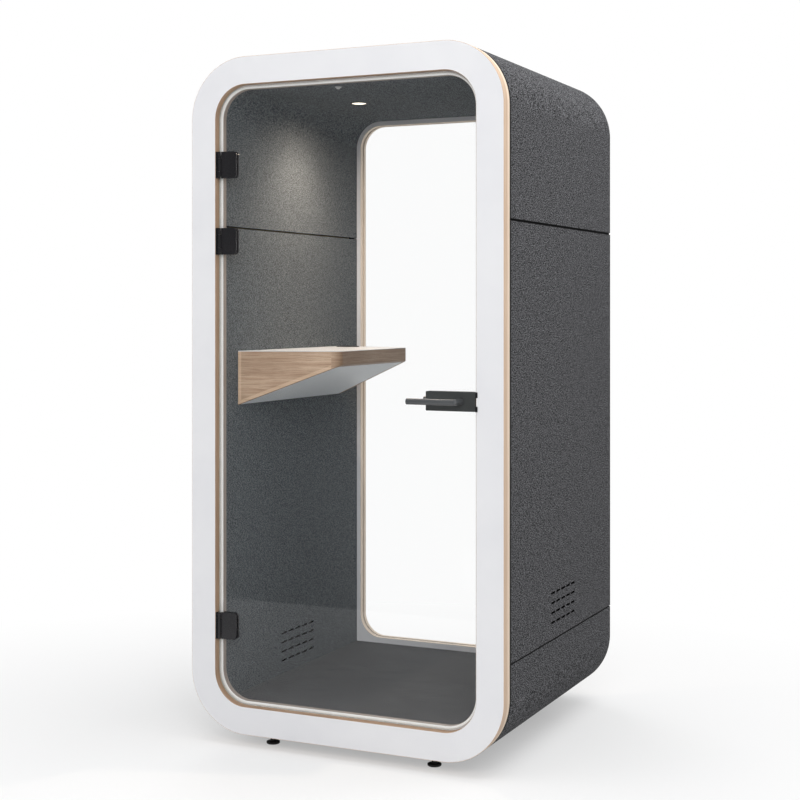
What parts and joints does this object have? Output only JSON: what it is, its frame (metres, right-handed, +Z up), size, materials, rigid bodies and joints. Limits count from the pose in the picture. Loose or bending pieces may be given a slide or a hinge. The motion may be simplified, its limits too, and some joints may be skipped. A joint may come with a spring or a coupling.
{
  "type": "acoustic office pod",
  "caption": "Free-standing one-person acoustic pod: rounded frame, felt walls, hinged glass door, rear window, standing desk, vents and ceiling light.",
  "frame": {"origin": "middle of the whole part at floor level, lever included", "axes": "+X right as the user faces the door from outside, +Y from the door to the rear window, +Z up"},
  "size_m": [1.1, 1.1234, 2.24],
  "materials": {
    "white_laminate": "white matt laminate on plywood with a clear-sealed edge",
    "birch_edge": "birch plywood, white face, clear-sealed edge",
    "seal_rubber": "soft, matt",
    "clear_glass": "clear, laminated",
    "black_rubber": "matt",
    "outer_felt": "dark grey melange felt",
    "joint_black": "matt black",
    "inner_felt": "grey melange felt",
    "deck_board": "plain birch plywood",
    "dark_carpet": "low loop pile",
    "frame_steel": "zinc plated",
    "acoustic_wool": "loose mineral fibre",
    "duct_sheet": "plain folded sheet",
    "black_plastic": "fine spark texture",
    "satin_black": "satin black powder coat",
    "desk_white": "white matt laminate",
    "light_oak": "light oak, matt lacquer",
    "lamp_lens": "opal diffuser, lit",
    "grey_plastic": "matt"
  },
  "bodies": {
    "pod": {"front_ring": "white_laminate", "stop_ring": "birch_edge", "door_seal": "seal_rubber", "rear_inner_ring": "white_laminate", "rear_outer_ring": "white_laminate", "rear_glass": "clear_glass", "glazing_tape": "black_rubber", "base_cladding": "outer_felt", "left_cladding": "outer_felt", "right_cladding": "outer_felt", "top_cladding": "outer_felt", "joint_strips": "joint_black", "left_lining": "inner_felt", "right_lining": "inner_felt", "ceiling_lining": "inner_felt", "floor_deck": "deck_board", "carpet": "dark_carpet", "floor_joists": "frame_steel", "wall_studs": "joint_black", "roof_battens": "joint_black", "left_insulation": "acoustic_wool", "right_insulation": "acoustic_wool", "roof_insulation": "acoustic_wool", "left_duct": "duct_sheet", "right_duct": "duct_sheet", "fan_frames": "black_plastic", "hinge_frame_leaves": "satin_black", "hinge_pins": "frame_steel", "strike_plate": "satin_black", "desk_top_sheet": "desk_white", "desk_board": "deck_board", "desk_front_end": "light_oak", "desk_rear_end": "light_oak", "desk_edge": "light_oak", "desk_underside": "desk_white", "desk_brackets": "frame_steel", "power_module": "black_plastic", "light_trim": "satin_black", "light_lens": "lamp_lens", "light_body": "duct_sheet", "motion_sensor": "grey_plastic", "power_inlet": "black_plastic", "foot_pads": "black_rubber", "foot_studs": "frame_steel", "foot_nuts": "frame_steel"},
    "door": {"door_glass": "clear_glass", "hinge_front_plates": "satin_black", "hinge_rear_plates": "satin_black", "clamp_screws": "frame_steel", "lock_front_case": "satin_black", "lock_rear_case": "satin_black", "lock_core": "frame_steel", "latch_spring": "frame_steel"},
    "lever": {"outer_lever": "satin_black", "inner_lever": "satin_black", "lever_spindle": "frame_steel"},
    "latch": {"latch_bolt": "frame_steel"},
    "front_fan": {"front_fan_rotor": "black_plastic"},
    "rear_fan": {"rear_fan_rotor": "black_plastic"}
  },
  "joints": [
    {"name": "door_swing", "type": "hinge", "parent": "pod", "child": "door", "pos_m": [-0.451, -0.49925, 1.14], "axis": [0, 0, -1], "range_deg": [0, 105]},
    {"name": "lever_turn", "type": "hinge", "parent": "door", "child": "lever", "pos_m": [0.406, -0.48625, 1.139], "axis": [0, -1, 0], "range_deg": [0, 45], "stiffness_Nm_per_rad": 1.2, "springref_deg": -57.3},
    {"name": "latch_slide", "type": "slide", "parent": "door", "child": "latch", "axis": [-1, 0, 0], "range_m": [0, 0.00375], "deforming": ["latch_spring"]},
    {"name": "front_fan_spin", "type": "hinge", "parent": "pod", "child": "front_fan", "pos_m": [0.525, -0.02375, 0.448], "axis": [-1, 0, 0], "continuous": true},
    {"name": "rear_fan_spin", "type": "hinge", "parent": "pod", "child": "rear_fan", "pos_m": [0.525, 0.09725, 0.448], "axis": [-1, 0, 0], "continuous": true}
  ],
  "couplings": [
    {"joint": "latch_slide", "follows": "lever_turn", "m_per_rad": 0.00477}
  ]
}
